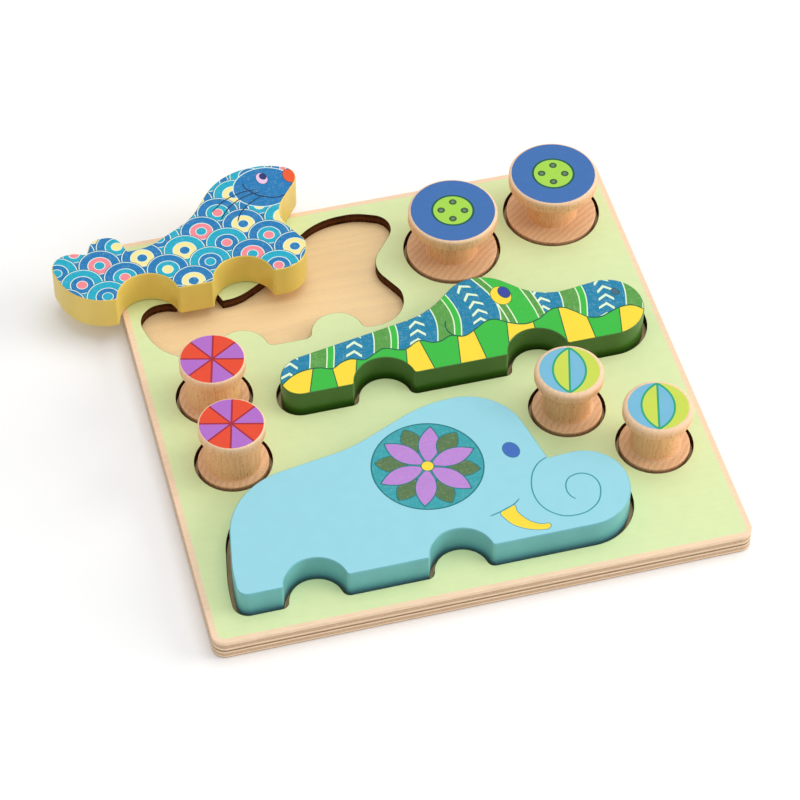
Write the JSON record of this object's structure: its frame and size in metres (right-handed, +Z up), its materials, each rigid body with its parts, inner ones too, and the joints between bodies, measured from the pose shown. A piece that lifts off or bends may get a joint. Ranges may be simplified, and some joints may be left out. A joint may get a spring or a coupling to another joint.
{
  "type": "inset puzzle",
  "caption": "Wooden inset puzzle: a shallow square tray with shaped recesses for thick animals with arched bellies and for turned spools, which also fit the arches as wheels.",
  "frame": {"origin": "the centre of the underside of the tray, on the surface that the tray lies on", "axes": "+Z up, out of the recesses; -Y to the front, where the elephant lies; +X to the right, the way the animals face"},
  "size_m": [0.2794, 0.2687, 0.0368],
  "materials": {
    "birch_plywood": "bare sanded birch plywood",
    "printed_plywood": "birch plywood with a matt pale green print",
    "seal_print": "wood with a blue print on top and straw yellow sides, satin",
    "crocodile_print": "wood with a green print on top and dark green sides, satin",
    "elephant_print": "wood painted light blue, satin",
    "turned_beech": "turned beech with a printed top, satin"
  },
  "bodies": {
    "tray": {"tray_board": "printed_plywood", "backing_board": "birch_plywood"},
    "seal": {"seal": "seal_print"},
    "crocodile": {"crocodile": "crocodile_print"},
    "elephant": {"elephant": "elephant_print"},
    "button_spool_right": {"button_spool_right": "turned_beech"},
    "button_spool_left": {"button_spool_left": "turned_beech"},
    "pinwheel_spool_back": {"pinwheel_spool_back": "turned_beech"},
    "pinwheel_spool_front": {"pinwheel_spool_front": "turned_beech"},
    "lens_spool_back": {"lens_spool_back": "turned_beech"},
    "lens_spool_front": {"lens_spool_front": "turned_beech"}
  },
  "joints": [
    {"name": "seal_lift", "type": "slide", "parent": "tray", "child": "seal", "axis": [0, 0, 1], "range_m": [0, 0.04]},
    {"name": "crocodile_lift", "type": "slide", "parent": "tray", "child": "crocodile", "axis": [0, 0, 1], "range_m": [0, 0.04]},
    {"name": "elephant_lift", "type": "slide", "parent": "tray", "child": "elephant", "axis": [0, 0, 1], "range_m": [0, 0.04]},
    {"name": "button_spool_right_lift", "type": "slide", "parent": "tray", "child": "button_spool_right", "axis": [0, 0, 1], "range_m": [0, 0.04]},
    {"name": "button_spool_left_lift", "type": "slide", "parent": "tray", "child": "button_spool_left", "axis": [0, 0, 1], "range_m": [0, 0.04]},
    {"name": "pinwheel_spool_back_lift", "type": "slide", "parent": "tray", "child": "pinwheel_spool_back", "axis": [0, 0, 1], "range_m": [0, 0.04]},
    {"name": "pinwheel_spool_front_lift", "type": "slide", "parent": "tray", "child": "pinwheel_spool_front", "axis": [0, 0, 1], "range_m": [0, 0.04]},
    {"name": "lens_spool_back_lift", "type": "slide", "parent": "tray", "child": "lens_spool_back", "axis": [0, 0, 1], "range_m": [0, 0.04]},
    {"name": "lens_spool_front_lift", "type": "slide", "parent": "tray", "child": "lens_spool_front", "axis": [0, 0, 1], "range_m": [0, 0.04]}
  ]
}
